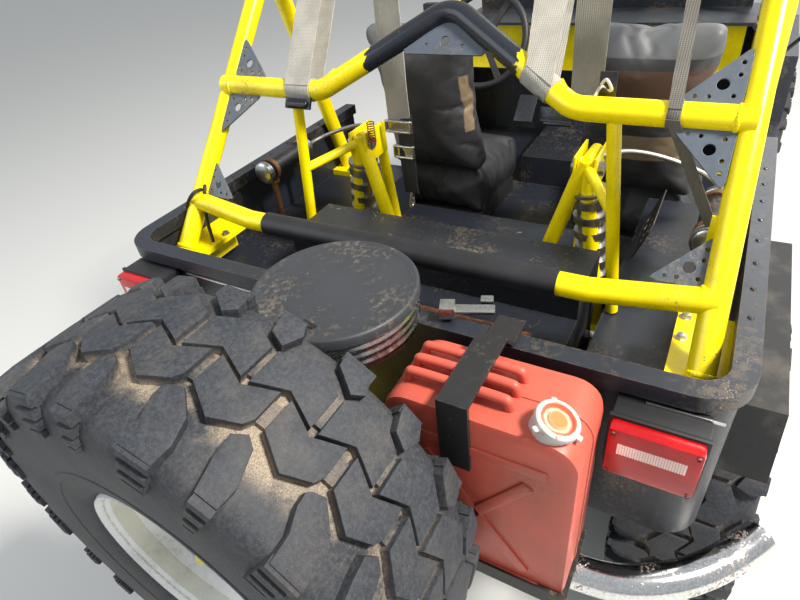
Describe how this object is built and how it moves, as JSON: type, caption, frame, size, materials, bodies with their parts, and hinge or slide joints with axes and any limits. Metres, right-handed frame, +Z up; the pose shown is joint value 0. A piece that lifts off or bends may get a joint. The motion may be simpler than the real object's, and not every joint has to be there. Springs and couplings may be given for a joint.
{
  "type": "off-road utility vehicle with tube cage",
  "caption": "Short-wheelbase open off-road utility vehicle: hollow tub, tube cage, coil-over rear end, steered front axle, hinged hood and a large mud-terrain spare.",
  "frame": {"origin": "on the ground at the middle of the overall length and width", "axes": "+X forward, +Y to the left, +Z up; the road wheels turn about Y"},
  "size_m": [4.175, 1.791, 1.8804],
  "materials": {
    "alloy": "satin",
    "bare_steel": "oily",
    "black_plastic": "matt",
    "black_rubber": "matt",
    "cage_yellow": "gloss",
    "can_red": "faded",
    "cast": "rusty",
    "chrome": "pitted",
    "frame_black": "satin",
    "galvanised": "dull",
    "glass": "clear",
    "lamp_glass": "clear",
    "lens_red": "gloss",
    "seat_vinyl": "matt",
    "tub_paint": "worn satin",
    "tyre": "dusty",
    "webbing": "woven",
    "wheel_white": "gloss"
  },
  "bodies": {
    "chassis": {"cage_sleeve": "black_plastic", "can_holder": "frame_black", "coilovers": "bare_steel", "cover_box": "tub_paint", "dash": "cage_yellow", "driveshafts": "bare_steel", "drum": "galvanised", "engine": "cast", "exhaust": "bare_steel", "frame": "frame_black", "front_axle": "cast", "front_bumper": "frame_black", "front_fenders": "tub_paint", "front_springs": "frame_black", "gearbox": "cast", "grille": "tub_paint", "harness": "webbing", "headlamps": "lamp_glass", "jerry_can": "can_red", "mirrors": "black_plastic", "rear_axle": "cast", "rear_bumper": "chrome", "rear_flares": "black_rubber", "reservoirs": "alloy", "roll_cage": "cage_yellow", "seats": "seat_vinyl", "shock_towers": "cage_yellow", "spare_rim": "wheel_white", "spare_tyre": "tyre", "steering_gear": "frame_black", "tail_lamps": "lens_red", "tub": "tub_paint", "tyre_carrier": "cage_yellow", "windscreen_frame": "tub_paint", "windscreen_glass": "glass"},
    "hood": {"hood": "tub_paint"},
    "steering_wheel": {"steering_wheel": "black_plastic"},
    "knuckle_left": {"knuckle_left": "cast"},
    "knuckle_right": {"knuckle_right": "cast"},
    "steering_rods": {"steering_rods": "bare_steel"},
    "pitman_arm": {"pitman_arm": "cast"},
    "wheel_rear_left": {"tyre_rear_left": "tyre", "rim_rear_left": "wheel_white"},
    "wheel_rear_right": {"tyre_rear_right": "tyre", "rim_rear_right": "wheel_white"},
    "wheel_front_left": {"tyre_front_left": "tyre", "rim_front_left": "wheel_white"},
    "wheel_front_right": {"tyre_front_right": "tyre", "rim_front_right": "wheel_white"}
  },
  "joints": [
    {"name": "hood_hinge", "type": "hinge", "parent": "chassis", "child": "hood", "pos_m": [0.7705, 0, 1.39], "axis": [0, -1, 0], "range_deg": [0, 65]},
    {"name": "steer_left", "type": "hinge", "parent": "chassis", "child": "knuckle_left", "pos_m": [1.4875, 0.6, 0.457], "axis": [0, 0, 1], "range_deg": [-27, 27]},
    {"name": "steer_right", "type": "hinge", "parent": "chassis", "child": "knuckle_right", "pos_m": [1.4875, -0.6, 0.457], "axis": [0, 0, 1], "range_deg": [-27, 27]},
    {"name": "steering_wheel_turn", "type": "hinge", "parent": "chassis", "child": "steering_wheel", "pos_m": [0.1325, 0.37, 1.37], "axis": [-0.9134, 0, 0.407], "range_deg": [-405, 405]},
    {"name": "rods_slide", "type": "slide", "parent": "chassis", "child": "steering_rods", "axis": [0, 1, 0], "range_m": [-0.0567, 0.0567]},
    {"name": "pitman_turn", "type": "hinge", "parent": "chassis", "child": "pitman_arm", "pos_m": [1.8025, 0.185, 0.5], "axis": [0, 0, 1], "range_deg": [-27, 27]},
    {"name": "spin_rear_left", "type": "hinge", "parent": "chassis", "child": "wheel_rear_left", "pos_m": [-0.8875, 0.73, 0.457], "axis": [0, 1, 0], "continuous": true},
    {"name": "spin_rear_right", "type": "hinge", "parent": "chassis", "child": "wheel_rear_right", "pos_m": [-0.8875, -0.73, 0.457], "axis": [0, 1, 0], "continuous": true},
    {"name": "spin_front_left", "type": "hinge", "parent": "knuckle_left", "child": "wheel_front_left", "pos_m": [1.4875, 0.73, 0.457], "axis": [0, 1, 0], "continuous": true},
    {"name": "spin_front_right", "type": "hinge", "parent": "knuckle_right", "child": "wheel_front_right", "pos_m": [1.4875, -0.73, 0.457], "axis": [0, 1, 0], "continuous": true}
  ],
  "couplings": [
    {"joint": "steer_right", "follows": "steer_left", "ratio": 1},
    {"joint": "steering_wheel_turn", "follows": "steer_left", "ratio": 15},
    {"joint": "rods_slide", "follows": "steer_left", "m_per_rad": 0.12},
    {"joint": "pitman_turn", "follows": "steer_left", "ratio": -1}
  ]
}
